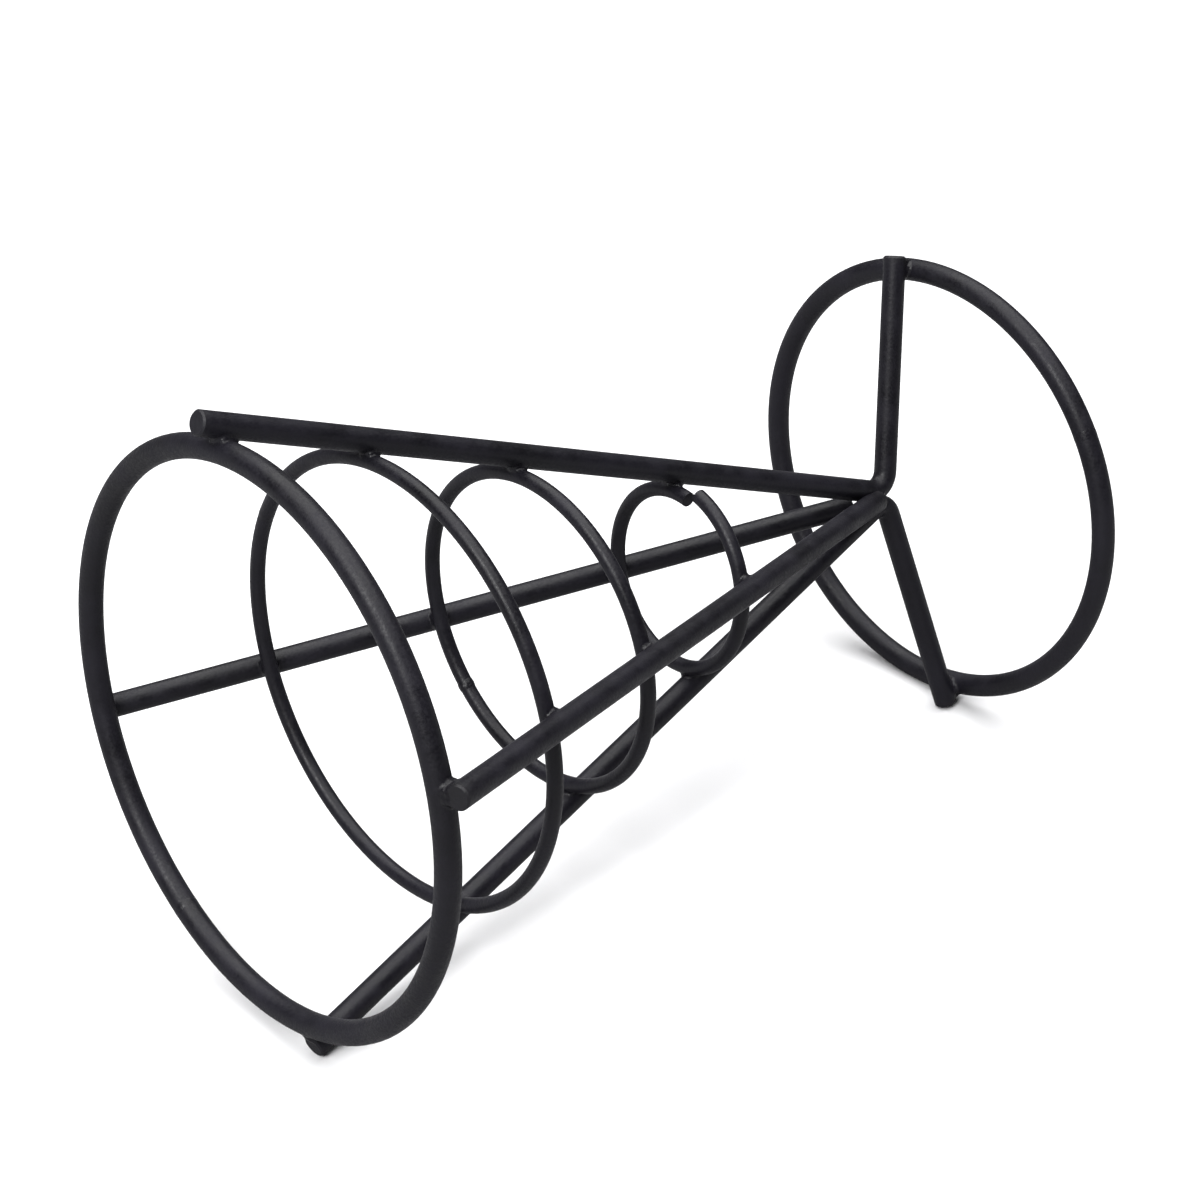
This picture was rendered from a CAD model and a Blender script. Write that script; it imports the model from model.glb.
"""Looks of a welded wire cone stand that lies on its side, in metres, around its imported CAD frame.

The rods, rings and hoops are the frame's own nodes under a black powder coat.  The weld metal
where wires cross, and in the butt of each closed ring, is modelled here on the wires it joins."""

import math

import bmesh
import bpy
import numpy as np
from mathutils import Matrix, Vector, noise
from mathutils.bvhtree import BVHTree


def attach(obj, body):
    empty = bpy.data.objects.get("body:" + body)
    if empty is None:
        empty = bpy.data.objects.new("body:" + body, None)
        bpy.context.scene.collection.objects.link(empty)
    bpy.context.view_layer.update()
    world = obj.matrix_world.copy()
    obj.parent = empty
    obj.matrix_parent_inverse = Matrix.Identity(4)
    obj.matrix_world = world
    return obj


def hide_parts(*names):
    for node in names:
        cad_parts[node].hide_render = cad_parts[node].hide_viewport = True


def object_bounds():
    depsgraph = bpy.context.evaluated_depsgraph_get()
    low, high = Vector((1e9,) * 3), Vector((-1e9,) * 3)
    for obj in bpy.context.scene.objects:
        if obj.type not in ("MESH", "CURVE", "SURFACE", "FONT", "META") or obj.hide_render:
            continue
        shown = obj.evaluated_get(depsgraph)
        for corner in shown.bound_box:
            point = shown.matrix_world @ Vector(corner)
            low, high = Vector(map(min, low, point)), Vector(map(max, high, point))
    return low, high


bl_info = {
    "name": "Wire Cone Stand",
    "version": (1, 0, 0),
    "blender": (4, 5, 0),
    "location": "3D View > Sidebar > Cone Stand",
    "description": "Powder coat, weld metal and studio stage for a welded wire cone stand",
    "category": "Object",
}

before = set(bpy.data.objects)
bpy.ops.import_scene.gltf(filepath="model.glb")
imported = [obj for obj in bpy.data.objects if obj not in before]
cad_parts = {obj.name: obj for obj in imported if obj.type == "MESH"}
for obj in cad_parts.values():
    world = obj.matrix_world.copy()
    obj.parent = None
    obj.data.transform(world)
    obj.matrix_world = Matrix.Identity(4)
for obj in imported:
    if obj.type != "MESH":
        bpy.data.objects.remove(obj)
cad_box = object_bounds()

MM = 0.001
BODY = "root"

# wires, and the patch around a rod's outermost corner that its cut end lies in
THICK_WIRE_RADIUS = 2.5 * MM
THIN_WIRE_RADIUS = 1.6 * MM
CUT_END_PATCH = 5.2 * MM
SAME_CORNER = 0.002 * MM

# weld beads: how far each kind may reach from its middle, and how its surface is found
THICK_REACH = 4.3 * MM
THIN_REACH = 3.7 * MM
WAIST_REACH = 4.6 * MM
BEAD_SINK = 0.06 * MM
BEAD_START = 0.15 * MM
BEAD_STEPS = 14
BEAD_STEP_SHARE = 0.85
BEAD_LEAST_STEP = 0.02 * MM
BEAD_CLOSE_ENOUGH = 0.01 * MM

# butt welds
BUTT_HALF_LENGTH = 1.5 * MM
BUTT_SINK = 0.05 * MM
BUTT_ROWS = 21
BUTT_SIDES = 48
FLUSH_SHARE = 0.3

# widths of the patches that the coat is made of
DRIFT_WIDTH = 26 * MM
PATCH_WIDTH = 5 * MM
GRAIN_WIDTH = 0.5 * MM
FLECK_WIDTH = 4.5 * MM
RUBBED_WIDTH = 14 * MM
RAGGED_WIDTH = 0.4 * MM
END_EDGE_WIDTH = 0.8 * MM
FLOOR_DRIFT_WIDTH = 0.35

# how strongly rub marks and cut ends show, and how much rougher they are
RUB_STRENGTH = 0.8
CUT_END_STRENGTH = 0.14
WORN_ROUGHNESS = 0.2
COAT_SPECULAR = 0.3

# floor: the tone it drifts towards, and what it throws back at the wires
FLOOR_DRIFT_COLOUR = (0.8, 0.8, 0.82, 1)
FLOOR_DRIFT_SHARE = 0.04
FLOOR_BOUNCE_COLOUR = (0.3, 0.3, 0.31, 1)
FLOOR_SPECULAR = 0.1

# places of the lights from the middle of the stand, and the point the camera is aimed at
OVERHEAD_PLACE = Vector((0.14, 0.2, 1.2))
KEY_PLACE = Vector((-0.8, -0.3, 0.75))
KEY_SIZE = 0.5
CAMERA_AIM = Vector((2.94, 11.63, 79.91)) * MM
SENSOR_WIDTH = 36
CLIP_START = 0.01

RODS = ("bent_rod_top", "bent_rod_bottom", "straight_rod_front", "straight_rod_back")
THICK_RINGS = ("rim_ring", "base_ring")
HOOPS = ("upper_hoop", "middle_hoop", "lower_hoop")
CLOSED_RINGS = ("rim_ring", "upper_hoop", "middle_hoop", "base_ring")


# ------------------------------------------------------------------------------- settings


class ConeStandCoat(bpy.types.PropertyGroup):
    """Colours and finish of the powder coat."""

    wire_colour: bpy.props.FloatVectorProperty(
        name="Wire colour", description="Coat on the rods, rings and hoops",
        subtype="COLOR", size=3, min=0, max=1, default=(0.0078, 0.0072, 0.0110))
    weld_colour: bpy.props.FloatVectorProperty(
        name="Weld colour", description="Coat on the weld metal",
        subtype="COLOR", size=3, min=0, max=1, default=(0.0070, 0.0065, 0.0095))
    worn_colour: bpy.props.FloatVectorProperty(
        name="Worn colour", description="Thin or rubbed coat on cut ends and high spots",
        subtype="COLOR", size=3, min=0, max=1, default=(0.035, 0.035, 0.034))
    roughness: bpy.props.FloatProperty(
        name="Roughness", description="Middle roughness of the satin coat",
        subtype="FACTOR", min=0, max=1, default=0.47)
    tone_change: bpy.props.FloatProperty(
        name="Tone change", description="How much the coat's tone drifts along a wire",
        subtype="FACTOR", min=0, max=1, default=0.55)
    peel_size: bpy.props.FloatProperty(
        name="Orange peel size", description="Width of the coat's ripples",
        unit="LENGTH", min=0.0001, max=0.01, default=0.9 * MM, precision=5)
    peel_depth: bpy.props.FloatProperty(
        name="Orange peel depth", description="Height of the coat's ripples",
        unit="LENGTH", min=0, max=0.001, default=0.06 * MM, precision=6)
    rub_amount: bpy.props.FloatProperty(
        name="Rub marks", description="Share of the surface with small rub marks",
        subtype="FACTOR", min=0, max=1, default=0.12)
    end_reach: bpy.props.FloatProperty(
        name="Worn end", description="How far the thin coat reaches from the middle of a cut end",
        unit="LENGTH", min=0, max=0.01, default=2.9 * MM, precision=4)


class ConeStandWelds(bpy.types.PropertyGroup):
    """Sizes of the weld metal."""

    thick_fillet: bpy.props.FloatProperty(
        name="Thick wire fillet", description="Fill between a rod and a thick ring",
        unit="LENGTH", min=0.0002, max=0.01, default=2.0 * MM, precision=4)
    thin_fillet: bpy.props.FloatProperty(
        name="Hoop fillet", description="Fill between a rod and a thin hoop",
        unit="LENGTH", min=0.0002, max=0.01, default=1.6 * MM, precision=4)
    waist_fillet: bpy.props.FloatProperty(
        name="Waist fillet", description="Fill between the rods where they meet at the waist",
        unit="LENGTH", min=0.0002, max=0.01, default=2.5 * MM, precision=4)
    lump_height: bpy.props.FloatProperty(
        name="Lump height", description="Height of the lumps in a weld",
        unit="LENGTH", min=0, max=0.001, default=0.045 * MM, precision=5)
    lump_size: bpy.props.FloatProperty(
        name="Lump size", description="Width of the lumps in a weld",
        unit="LENGTH", min=0.0002, max=0.01, default=1.5 * MM, precision=4)
    seam_bulge: bpy.props.FloatProperty(
        name="Seam bulge", description="Height of a plain butt weld above its wire",
        unit="LENGTH", min=0, max=0.001, default=0.13 * MM, precision=5)


class ConeStandStage(bpy.types.PropertyGroup):
    """Floor, lights and camera."""

    floor_colour: bpy.props.FloatVectorProperty(
        name="Floor colour", description="Pale studio floor",
        subtype="COLOR", size=3, min=0, max=1, default=(0.86, 0.86, 0.87))
    floor_width: bpy.props.FloatProperty(
        name="Floor width", description="Side of the square floor",
        unit="LENGTH", min=1, max=50, default=14.0)
    overhead_strength: bpy.props.FloatProperty(
        name="Overhead light", description="Strength of the broad light above the stand",
        min=0, max=100, default=4.3)
    overhead_spread: bpy.props.FloatProperty(
        name="Overhead spread", description="Width of the broad light as seen from the stand",
        subtype="ANGLE", min=0, max=math.pi, default=math.radians(78))
    key_power: bpy.props.FloatProperty(
        name="Key light", description="Power of the softbox beside the camera",
        unit="POWER", min=0, default=11.0)
    surround: bpy.props.FloatProperty(
        name="Surround", description="Brightness of the room that the coat reflects",
        min=0, max=10, default=0.05)
    lens: bpy.props.FloatProperty(
        name="Lens", description="Focal length of the camera in millimetres",
        min=10, max=300, default=84.295)
    distance: bpy.props.FloatProperty(
        name="Distance", description="From the camera to the point it is aimed at",
        unit="LENGTH", min=0.1, max=5, default=578.94 * MM, precision=4)
    shift: bpy.props.FloatProperty(
        name="Shift", description="Rise of the camera's view, as a share of its width",
        min=-0.5, max=0.5, default=-0.1)
    heading: bpy.props.FloatProperty(
        name="Heading", description="Direction in which the camera looks, from +X towards +Y",
        subtype="ANGLE", default=math.radians(49.034))
    pitch: bpy.props.FloatProperty(
        name="Pitch", description="How far the camera looks down",
        subtype="ANGLE", default=math.radians(28.275))
    roll: bpy.props.FloatProperty(
        name="Roll", description="Turn of the camera about its own line of sight",
        subtype="ANGLE", default=math.radians(-0.394))


# --------------------------------------------------------------------------- shader nodes


def add(tree, kind, inputs=None, **settings):
    """A node with its settings, and values or links on its inputs."""
    made = tree.nodes.new(kind)
    for name, value in settings.items():
        setattr(made, name, value)
    for key, value in (inputs or {}).items():
        socket = made.inputs[key]
        if isinstance(value, bpy.types.NodeSocket):
            tree.links.new(value, socket)
        else:
            socket.default_value = value
    return made


def start_group(name, inputs, outputs):
    """An empty node group with named sockets, given as (name, kind, default)."""
    tree = bpy.data.node_groups.new(name, "ShaderNodeTree")
    for socket_name, kind, default in inputs:
        socket = tree.interface.new_socket(socket_name, in_out="INPUT", socket_type=kind)
        if default is not None:
            socket.default_value = default
    for socket_name, kind in outputs:
        tree.interface.new_socket(socket_name, in_out="OUTPUT", socket_type=kind)
    return tree, tree.nodes.new("NodeGroupInput").outputs, tree.nodes.new("NodeGroupOutput").inputs


def maths(tree, operation, first, second=0.0, clamp=False):
    """The result of one sum on two values."""
    made = add(tree, "ShaderNodeMath", {0: first, 1: second}, operation=operation)
    made.use_clamp = clamp
    return made.outputs[0]


def remap(tree, value, low, high, new_low=0.0, new_high=1.0):
    """A value moved smoothly from one range to another."""
    made = add(tree, "ShaderNodeMapRange", {0: value, 1: low, 2: high, 3: new_low, 4: new_high},
               interpolation_type="SMOOTHSTEP")
    return made.outputs[0]


def cloud(tree, size, detail=2.0, roughness=0.5, offset=(0, 0, 0)):
    """Noise over the object's own space, with patches about this wide."""
    place = tree.nodes.new("ShaderNodeTexCoord").outputs["Object"]
    moved = add(tree, "ShaderNodeMapping", {"Vector": place, "Location": offset})
    if isinstance(size, bpy.types.NodeSocket):
        scale = maths(tree, "DIVIDE", 1.0, size)
    else:
        scale = 1.0 / size
    made = add(tree, "ShaderNodeTexNoise", {
        "Vector": moved.outputs[0], "Scale": scale, "Detail": detail, "Roughness": roughness})
    return made.outputs["Fac"]


def blend_colours(tree, share, first, second):
    """Two colours mixed by a share that changes over the surface."""
    made = add(tree, "ShaderNodeMix", data_type="RGBA")
    sockets = {socket.name: socket for socket in made.inputs if socket.enabled}
    for name, value in (("Factor", share), ("A", first), ("B", second)):
        if isinstance(value, bpy.types.NodeSocket):
            tree.links.new(value, sockets[name])
        else:
            sockets[name].default_value = value
    return next(socket for socket in made.outputs if socket.enabled)


def place_group(tree, group, **inputs):
    """One use of a node group in a material, with its own values."""
    made = tree.nodes.new("ShaderNodeGroup")
    made.node_tree = group
    for name, value in inputs.items():
        socket = made.inputs[name.replace("_", " ").capitalize()]
        if isinstance(value, bpy.types.NodeSocket):
            tree.links.new(value, socket)
        else:
            socket.default_value = value
    return made.outputs


def four(colour):
    """A colour with its alpha."""
    return (colour[0], colour[1], colour[2], 1.0)


def coat_group():
    """Powder coat: tone, roughness and orange peel that change over the surface."""
    if "Powder coat" in bpy.data.node_groups:
        return bpy.data.node_groups["Powder coat"]
    tree, given, result = start_group(
        "Powder coat",
        [("Colour", "NodeSocketColor", (0.012, 0.012, 0.015, 1)),
         ("Tone change", "NodeSocketFloat", 0.3),
         ("Roughness", "NodeSocketFloat", 0.45),
         ("Peel size", "NodeSocketFloat", 0.9 * MM)],
        [("Colour", "NodeSocketColor"), ("Roughness", "NodeSocketFloat"),
         ("Height", "NodeSocketFloat")])
    drift = cloud(tree, DRIFT_WIDTH, detail=2)
    patches = cloud(tree, PATCH_WIDTH, detail=3, offset=(0.4, 0.1, 0.7))
    grain = cloud(tree, GRAIN_WIDTH, detail=3, roughness=0.75, offset=(0.2, 0.5, 0.3))
    peel = cloud(tree, given["Peel size"], detail=2, roughness=0.45, offset=(0.9, 0.3, 0.2))
    mixed = maths(tree, "ADD", maths(tree, "MULTIPLY", drift, 0.45),
                  maths(tree, "MULTIPLY", patches, 0.3))
    mixed = maths(tree, "ADD", mixed, maths(tree, "MULTIPLY", grain, 0.25))
    tone = remap(tree, mixed, 0.32, 0.68, -1.0, 1.0)
    factor = maths(tree, "ADD", 1.0, maths(tree, "MULTIPLY", tone, given["Tone change"]))
    toned = add(tree, "ShaderNodeVectorMath", {0: given["Colour"], "Scale": factor},
                operation="SCALE")
    tree.links.new(toned.outputs[0], result["Colour"])
    swing = maths(tree, "MULTIPLY", remap(tree, patches, 0.3, 0.7, -1.0, 1.0), 0.06)
    speckle = maths(tree, "MULTIPLY", remap(tree, grain, 0.35, 0.65, -1.0, 1.0), 0.09)
    rough = maths(tree, "ADD", maths(tree, "ADD", given["Roughness"], swing), speckle, clamp=True)
    tree.links.new(rough, result["Roughness"])
    fine = maths(tree, "MULTIPLY", grain, 0.45)
    tree.links.new(maths(tree, "ADD", peel, fine), result["Height"])
    return tree


def rub_group():
    """Rub marks: a mask of sparse pale flecks and short scuffs."""
    if "Rub marks" in bpy.data.node_groups:
        return bpy.data.node_groups["Rub marks"]
    tree, given, result = start_group(
        "Rub marks", [("Amount", "NodeSocketFloat", 0.1)], [("Mask", "NodeSocketFloat")])
    place = tree.nodes.new("ShaderNodeTexCoord").outputs["Object"]
    flecks = add(tree, "ShaderNodeTexVoronoi", {"Vector": place, "Scale": 1 / FLECK_WIDTH,
                                                "Randomness": 1.0})
    near = remap(tree, flecks.outputs["Distance"], 0.05, 0.11, 1.0, 0.0)
    chosen = cloud(tree, RUBBED_WIDTH, detail=1, offset=(0.3, 0.8, 0.1))
    floor = maths(tree, "SUBTRACT", 0.72, maths(tree, "MULTIPLY", given["Amount"], 0.5))
    patch = remap(tree, chosen, floor, maths(tree, "ADD", floor, 0.06))
    speckle = cloud(tree, RAGGED_WIDTH, detail=2, offset=(0.6, 0.2, 0.9))
    ragged = remap(tree, speckle, 0.42, 0.58)
    mask = maths(tree, "MULTIPLY", maths(tree, "MULTIPLY", near, patch), ragged, clamp=True)
    tree.links.new(mask, result["Mask"])
    return tree


def cut_end_group():
    """Cut ends: a mask of thin coat within a reach of two points, with a ragged edge."""
    if "Cut ends" in bpy.data.node_groups:
        return bpy.data.node_groups["Cut ends"]
    tree, given, result = start_group(
        "Cut ends",
        [("First end", "NodeSocketVector", None), ("Second end", "NodeSocketVector", None),
         ("Reach", "NodeSocketFloat", 2.9 * MM)],
        [("Mask", "NodeSocketFloat")])
    place = tree.nodes.new("ShaderNodeTexCoord").outputs["Object"]
    gaps = [add(tree, "ShaderNodeVectorMath", {0: place, 1: given[end]},
                operation="DISTANCE").outputs["Value"] for end in ("First end", "Second end")]
    nearest = maths(tree, "MINIMUM", gaps[0], gaps[1])
    share = maths(tree, "DIVIDE", nearest, given["Reach"])
    ragged = maths(tree, "MULTIPLY", cloud(tree, END_EDGE_WIDTH, detail=3), 0.5)
    edge = maths(tree, "ADD", share, ragged)
    tree.links.new(remap(tree, edge, 1.05, 1.3, 1.0, 0.0), result["Mask"])
    return tree


def coat_material(name, colour, roughness, peel_size, peel_depth, rub_amount, ends=None):
    """Powder coat for one kind of piece, worn at its cut ends where it has any."""
    coat = bpy.context.scene.cone_stand_coat
    material = bpy.data.materials.new(name)
    material.use_nodes = True
    tree = material.node_tree
    shader = tree.nodes["Principled BSDF"]
    base = place_group(tree, coat_group(), colour=four(colour), tone_change=coat.tone_change,
                       roughness=roughness, peel_size=peel_size)
    rubbed = place_group(tree, rub_group(), amount=rub_amount)["Mask"]
    worn = maths(tree, "MULTIPLY", rubbed, RUB_STRENGTH)
    if ends:
        bare = place_group(tree, cut_end_group(), first_end=ends[0], second_end=ends[1],
                           reach=coat.end_reach)["Mask"]
        worn = maths(tree, "MAXIMUM", worn, maths(tree, "MULTIPLY", bare, CUT_END_STRENGTH))
    shown = blend_colours(tree, worn, base["Colour"], four(coat.worn_colour))
    rougher = maths(tree, "MULTIPLY", worn, WORN_ROUGHNESS)
    rough = maths(tree, "ADD", base["Roughness"], rougher, clamp=True)
    bump = add(tree, "ShaderNodeBump", {
        "Strength": 1.0, "Distance": peel_depth, "Height": base["Height"]})
    tree.links.new(shown, shader.inputs["Base Color"])
    tree.links.new(rough, shader.inputs["Roughness"])
    tree.links.new(bump.outputs[0], shader.inputs["Normal"])
    shader.inputs["Specular IOR Level"].default_value = COAT_SPECULAR
    return material


def give(piece, material):
    """Put a material on every slot of a piece."""
    if not piece.material_slots:
        piece.data.materials.append(material)
    for slot in piece.material_slots:
        slot.material = material


# ------------------------------------------------------------------ reading the frame's shapes


def lumps_of(node):
    """The separate lumps of a CAD node: for each, its middle and its thinnest direction."""
    made = bmesh.new()
    made.from_mesh(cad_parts[node].data)
    bmesh.ops.remove_doubles(made, verts=made.verts, dist=SAME_CORNER)
    waiting = set(made.faces)
    found = []
    while waiting:
        start = min(waiting, key=lambda face: face.index)
        waiting.discard(start)
        lump, reached = [start], [start]
        while reached:
            for edge in reached.pop().edges:
                for face in edge.link_faces:
                    if face in waiting:
                        waiting.discard(face)
                        lump.append(face)
                        reached.append(face)
        areas = np.array([face.calc_area() for face in lump])
        middles = np.array([face.calc_center_median()[:] for face in lump])
        middle = (middles * areas[:, None]).sum(0) / areas.sum()
        spread = middles - middle
        _, directions = np.linalg.eigh((spread * areas[:, None]).T @ spread)
        found.append((Vector(middle), Vector(directions[:, 0])))
    made.free()
    found.sort(key=lambda lump: tuple(round(value, 5) for value in lump[0]))
    return found


def surface_of(node):
    """A CAD node's surface, ready to be asked for its nearest point."""
    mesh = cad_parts[node].data
    corners = [vertex.co.copy() for vertex in mesh.vertices]
    return BVHTree.FromPolygons(corners, [tuple(face.vertices) for face in mesh.polygons])


def depth_at(surface, point):
    """Distance to a surface, negative inside it."""
    nearest, normal, _, distance = surface.find_nearest(point)
    return -distance if (point - nearest).dot(normal) < 0 else distance


def cut_ends(node):
    """The middles of a rod's two cut ends.

    One end holds the rod's lowest corner along X, and the other the corner furthest from it."""
    corners = [vertex.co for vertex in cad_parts[node].data.vertices]
    start = min(corners, key=lambda corner: corner.x)
    finish = max(corners, key=lambda corner: (corner - start).length)
    ends = []
    for tip in (start, finish):
        near = [corner for corner in corners if (corner - tip).length < CUT_END_PATCH]
        ends.append(sum(near, Vector()) / len(near))
    return ends


# ------------------------------------------------------------------------------ weld metal


def fillet_depth(point, surfaces, fillet, seed):
    """How far a point lies outside wires and the weld metal of this fillet that joins them.

    Away from the weld the metal sinks a little below the wire, so its edge never shows."""
    welds = bpy.context.scene.cone_stand_welds
    depths = sorted(depth_at(surface, point) for surface in surfaces)
    share = max(fillet - (depths[1] - depths[0]), 0.0) / fillet
    lumps = noise.noise(point / welds.lump_size + Vector((seed, 2 * seed, 0)))
    fine = noise.noise(point / (welds.lump_size * 0.4) + Vector((0, seed, 3 * seed)))
    swell = 0.0
    for depth in depths[1:]:
        near = max(fillet - (depth - depths[0] + swell), 0.0) / fillet
        swell += near * near * fillet / 4 * (1 + 0.5 * lumps)
    swell += (lumps + 0.4 * fine) * welds.lump_height * share
    sunk = BEAD_SINK * (1 - share)
    return depths[0] - swell + sunk


def touching_point(first, second):
    """The middle of the narrowest gap between two CAD nodes."""
    surface = surface_of(second)
    corners = [vertex.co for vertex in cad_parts[first].data.vertices]
    closest = min(corners, key=lambda corner: surface.find_nearest(corner)[3])
    return (closest + surface.find_nearest(closest)[0]) / 2


def weld_bead(made, middle, surfaces, fillet, reach, seed):
    """Add one closed lump of weld metal around a crossing to a mesh in the making."""
    if fillet_depth(middle, surfaces, fillet, seed) > 0:
        raise RuntimeError("the middle of a weld bead lies outside its weld metal")
    ball = bmesh.ops.create_icosphere(made, subdivisions=5, radius=1.0)
    for vertex in ball["verts"]:
        direction = vertex.co.normalized()
        limit = reach * (0.92 + 0.12 * noise.noise(direction * 1.7 + Vector((seed, 0, seed))))
        travel = BEAD_START
        for _ in range(BEAD_STEPS):
            depth = fillet_depth(middle + direction * travel, surfaces, fillet, seed)
            if depth > -BEAD_CLOSE_ENOUGH or travel > limit:
                break
            travel += max(-depth * BEAD_STEP_SHARE, BEAD_LEAST_STEP)
        vertex.co = middle + direction * min(travel, limit)


def weld_piece(name, node, build):
    """A finished piece of weld metal that stands for a CAD node."""
    made = bmesh.new()
    build(made)
    bmesh.ops.recalc_face_normals(made, faces=made.faces)
    mesh = bpy.data.meshes.new(name)
    made.to_mesh(mesh)
    made.free()
    for face in mesh.polygons:
        face.use_smooth = True
    piece = bpy.data.objects.new(name, mesh)
    bpy.context.scene.collection.objects.link(piece)
    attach(piece, BODY)
    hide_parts(node)
    return piece


def butt_weld(made, middle, along, wire, bulge, seed):
    """Add the collar of a butt weld, which swells from the wire and dies away along it."""
    across = along.orthogonal().normalized()
    other = along.cross(across)
    rings = []
    for row in range(BUTT_ROWS):
        share = 2 * row / (BUTT_ROWS - 1) - 1
        ring = []
        for step in range(BUTT_SIDES):
            angle = 2 * math.pi * step / BUTT_SIDES
            out = across * math.cos(angle) + other * math.sin(angle)
            wander = noise.noise(out * 1.3 + Vector((seed, seed, 0))) * 0.25
            weld = max(1 - (share + wander) ** 2 * 1.3, 0.0)
            lumps = 1 + 0.45 * noise.noise((out * 2.2 + along * share * 3) + Vector((0, seed, 0)))
            height = bulge * weld * lumps - BUTT_SINK * (1 - weld)
            ring.append(made.verts.new(middle + along * share * BUTT_HALF_LENGTH
                                       + out * (wire + height)))
        rings.append(ring)
    for low, high in zip(rings, rings[1:]):
        for step in range(BUTT_SIDES):
            following = (step + 1) % BUTT_SIDES
            made.faces.new((low[step], low[following], high[following], high[step]))
    made.faces.new(rings[0])
    made.faces.new(rings[-1])


# ------------------------------------------------------------------------------- operators


class CONESTAND_OT_rods(bpy.types.Operator):
    """Coat the four rods, with thin coat at their cut ends"""

    bl_idname = "cone_stand.rods"
    bl_label = "Coat the rods"

    def execute(self, context):
        coat = context.scene.cone_stand_coat
        for node in RODS:
            material = coat_material("coat_" + node, coat.wire_colour, coat.roughness,
                                     coat.peel_size, coat.peel_depth, coat.rub_amount,
                                     cut_ends(node))
            give(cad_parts[node], material)
        return {"FINISHED"}


class CONESTAND_OT_rings(bpy.types.Operator):
    """Coat the rim ring and the base ring"""

    bl_idname = "cone_stand.rings"
    bl_label = "Coat the thick rings"

    def execute(self, context):
        coat = context.scene.cone_stand_coat
        for node, rub in zip(THICK_RINGS, (coat.rub_amount, 2 * coat.rub_amount)):
            material = coat_material("coat_" + node, coat.wire_colour, coat.roughness + 0.02,
                                     coat.peel_size * 1.15, coat.peel_depth, rub)
            give(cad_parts[node], material)
        return {"FINISHED"}


class CONESTAND_OT_hoops(bpy.types.Operator):
    """Coat the three thin hoops"""

    bl_idname = "cone_stand.hoops"
    bl_label = "Coat the hoops"

    def execute(self, context):
        coat = context.scene.cone_stand_coat
        material = coat_material("coat_hoops", coat.wire_colour, coat.roughness - 0.03,
                                 coat.peel_size * 0.85, coat.peel_depth * 0.8, coat.rub_amount)
        for node in HOOPS:
            give(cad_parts[node], material)
        return {"FINISHED"}


def weld_material():
    """Powder coat over weld metal, made once."""
    if "coat_welds" in bpy.data.materials:
        return bpy.data.materials["coat_welds"]
    coat = bpy.context.scene.cone_stand_coat
    return coat_material("coat_welds", coat.weld_colour, coat.roughness - 0.08,
                         coat.peel_size * 0.7, coat.peel_depth * 1.6, 2 * coat.rub_amount)


class CONESTAND_OT_beads(bpy.types.Operator):
    """Build the weld metal in every crossing of a rod and a ring, and at the waist"""

    bl_idname = "cone_stand.beads"
    bl_label = "Build the weld beads"

    def execute(self, context):
        welds = context.scene.cone_stand_welds
        surfaces = {node: surface_of(node) for node in RODS + THICK_RINGS + HOOPS}
        for ring in THICK_RINGS + HOOPS:
            thick = ring in THICK_RINGS
            fillet = welds.thick_fillet if thick else welds.thin_fillet
            reach = THICK_REACH if thick else THIN_REACH
            node = ring + "_welds"

            def build(made):
                for number, (middle, _) in enumerate(lumps_of(node)):
                    rod = min(RODS, key=lambda name: surfaces[name].find_nearest(middle)[3])
                    weld_bead(made, middle, (surfaces[ring], surfaces[rod]), fillet, reach,
                              number + 7 * len(ring))

            give(weld_piece(ring + "_beads", node, build), weld_material())

        def build_waist(made):
            rods = [surfaces[rod] for rod in RODS]
            middle = touching_point("bent_rod_top", "bent_rod_bottom")
            weld_bead(made, middle, rods, welds.waist_fillet, WAIST_REACH, 5)

        give(weld_piece("waist_bead", "waist_welds", build_waist), weld_material())
        return {"FINISHED"}


class CONESTAND_OT_butt_welds(bpy.types.Operator):
    """Build the butt weld that closes each closed ring"""

    bl_idname = "cone_stand.butt_welds"
    bl_label = "Build the butt welds"

    def execute(self, context):
        welds = context.scene.cone_stand_welds
        for number, ring in enumerate(CLOSED_RINGS):
            wire = THICK_WIRE_RADIUS if ring in THICK_RINGS else THIN_WIRE_RADIUS
            bulge = welds.seam_bulge * (1.0 if ring == "middle_hoop" else FLUSH_SHARE)
            middle, along = lumps_of(ring + "_seam")[0]
            piece = weld_piece(
                ring + "_butt", ring + "_seam",
                lambda made: butt_weld(made, middle, along, wire, bulge, number + 3))
            give(piece, weld_material())
        return {"FINISHED"}


def hang_light(name, light, place, aim):
    """Put a light at a place, pointed at another."""
    holder = bpy.data.objects.new(name, light)
    holder.location = place
    holder.rotation_euler = (aim - place).to_track_quat("-Z", "Y").to_euler()
    bpy.context.scene.collection.objects.link(holder)


def softbox(name, place, aim, size, power):
    """A square softbox."""
    light = bpy.data.lights.new(name, "AREA")
    light.shape = "SQUARE"
    light.size = size
    light.energy = power
    hang_light(name, light, place, aim)


def broad_light(name, place, aim, strength, spread):
    """A light so broad and far away that it falls evenly on the whole floor."""
    light = bpy.data.lights.new(name, "SUN")
    light.energy = strength
    light.angle = spread
    hang_light(name, light, place, aim)


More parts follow.
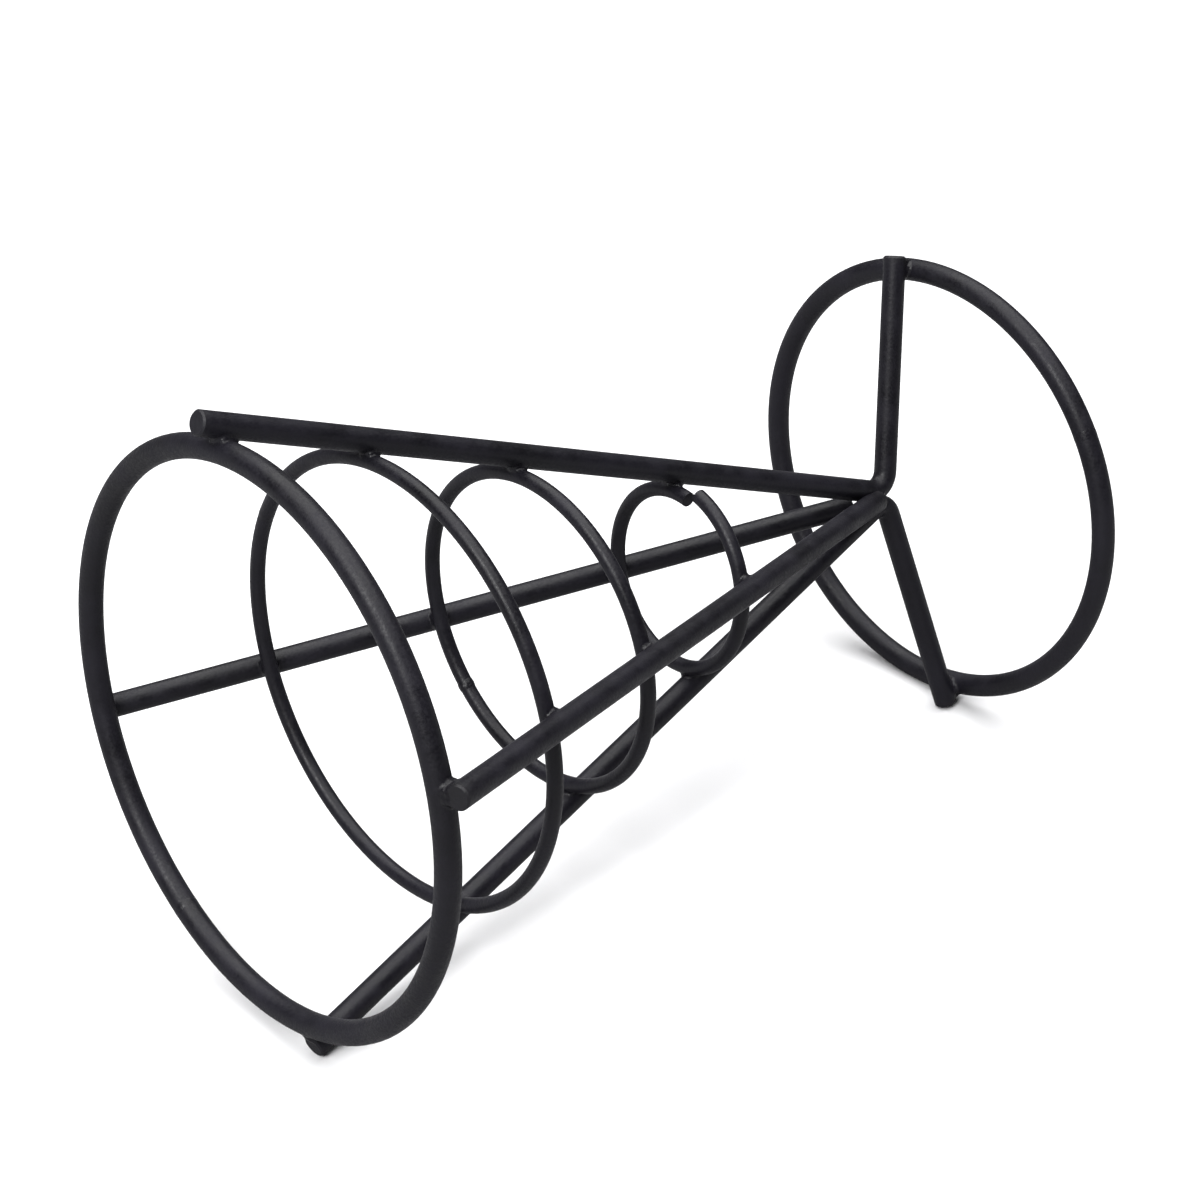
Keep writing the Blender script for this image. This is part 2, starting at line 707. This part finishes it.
def floor_material(colour):
    """Matt pale floor with a faint change of tone, which throws little light back at the wires."""
    material = bpy.data.materials.new("studio_floor")
    material.use_nodes = True
    tree = material.node_tree
    shader = tree.nodes["Principled BSDF"]
    drift = cloud(tree, FLOOR_DRIFT_WIDTH, detail=2)
    faint = maths(tree, "MULTIPLY", drift, FLOOR_DRIFT_SHARE)
    shown = blend_colours(tree, faint, four(colour), FLOOR_DRIFT_COLOUR)
    seen = tree.nodes.new("ShaderNodeLightPath").outputs["Is Camera Ray"]
    lit = blend_colours(tree, seen, FLOOR_BOUNCE_COLOUR, shown)
    tree.links.new(lit, shader.inputs["Base Color"])
    tree.links.new(remap(tree, drift, 0.3, 0.7, 0.85, 0.95), shader.inputs["Roughness"])
    shader.inputs["Specular IOR Level"].default_value = FLOOR_SPECULAR
    return material


def lay_floor(stage, height):
    """A broad flat floor at a height."""
    made = bmesh.new()
    bmesh.ops.create_grid(made, x_segments=8, y_segments=8, size=stage.floor_width / 2)
    mesh = bpy.data.meshes.new("floor")
    made.to_mesh(mesh)
    made.free()
    floor = bpy.data.objects.new("floor", mesh)
    floor.location.z = height
    bpy.context.scene.collection.objects.link(floor)
    give(floor, floor_material(stage.floor_colour))


def light_surround(surround):
    """A room that is white to look at and gives the wires only a dim reflection."""
    world = bpy.data.worlds.new("studio")
    world.use_nodes = True
    tree = world.node_tree
    background = tree.nodes["Background"]
    seen = tree.nodes.new("ShaderNodeLightPath").outputs["Is Camera Ray"]
    strength = add(tree, "ShaderNodeMix", {0: seen, 2: surround, 3: 1.0}, data_type="FLOAT")
    tree.links.new(strength.outputs[0], background.inputs["Strength"])
    background.inputs["Color"].default_value = (1, 1, 1, 1)
    bpy.context.scene.world = world


def place_camera(stage):
    """A camera at its distance from the point that it is aimed at."""
    camera = bpy.data.cameras.new("camera")
    camera.sensor_width = SENSOR_WIDTH
    camera.lens = stage.lens
    camera.shift_y = stage.shift
    camera.clip_start = CLIP_START
    holder = bpy.data.objects.new("camera", camera)
    bpy.context.scene.collection.objects.link(holder)
    flat = math.cos(stage.pitch)
    looking = Vector((flat * math.cos(stage.heading), flat * math.sin(stage.heading),
                      -math.sin(stage.pitch)))
    turn = looking.to_track_quat("-Z", "Y").to_matrix() @ Matrix.Rotation(stage.roll, 3, "Z")
    place = CAMERA_AIM - looking * stage.distance
    holder.matrix_world = Matrix.Translation(place) @ turn.to_4x4()
    bpy.context.scene.camera = holder


class CONESTAND_OT_stage(bpy.types.Operator):
    """Build the pale floor, the soft lights, the surround and the camera"""

    bl_idname = "cone_stand.stage"
    bl_label = "Build the stage"

    def execute(self, context):
        stage = context.scene.cone_stand_stage
        low, high = (Vector(corner) for corner in cad_box)
        heart = (low + high) / 2
        lay_floor(stage, low.z)
        broad_light("overhead", heart + OVERHEAD_PLACE, heart, stage.overhead_strength,
                    stage.overhead_spread)
        softbox("key", heart + KEY_PLACE, heart, KEY_SIZE, stage.key_power)
        light_surround(stage.surround)
        place_camera(stage)
        context.scene.view_settings.view_transform = "Standard"
        return {"FINISHED"}


STEPS = (CONESTAND_OT_rods, CONESTAND_OT_rings, CONESTAND_OT_hoops, CONESTAND_OT_beads,
         CONESTAND_OT_butt_welds, CONESTAND_OT_stage)


class CONESTAND_PT_panel(bpy.types.Panel):
    """The steps that dress the wire cone stand"""

    bl_idname = "CONESTAND_PT_panel"
    bl_label = "Wire Cone Stand"
    bl_space_type = "VIEW_3D"
    bl_region_type = "UI"
    bl_category = "Cone Stand"

    def draw(self, context):
        for step in STEPS:
            self.layout.operator(step.bl_idname)
        for settings in (context.scene.cone_stand_coat, context.scene.cone_stand_welds,
                         context.scene.cone_stand_stage):
            box = self.layout.box()
            for name in settings.bl_rna.properties.keys():
                if name not in ("rna_type", "name"):
                    box.prop(settings, name)


CLASSES = (ConeStandCoat, ConeStandWelds, ConeStandStage) + STEPS + (CONESTAND_PT_panel,)


def register():
    for item in CLASSES:
        bpy.utils.register_class(item)
    bpy.types.Scene.cone_stand_coat = bpy.props.PointerProperty(type=ConeStandCoat)
    bpy.types.Scene.cone_stand_welds = bpy.props.PointerProperty(type=ConeStandWelds)
    bpy.types.Scene.cone_stand_stage = bpy.props.PointerProperty(type=ConeStandStage)


def unregister():
    del bpy.types.Scene.cone_stand_stage
    del bpy.types.Scene.cone_stand_welds
    del bpy.types.Scene.cone_stand_coat
    for item in reversed(CLASSES):
        bpy.utils.unregister_class(item)


def main():
    """Dress the stand, build its stage and note both boxes."""
    register()
    bpy.ops.cone_stand.rods()
    bpy.ops.cone_stand.rings()
    bpy.ops.cone_stand.hoops()
    bpy.ops.cone_stand.beads()
    bpy.ops.cone_stand.butt_welds()
    bpy.ops.cone_stand.stage()


if __name__ == "__main__":
    main()
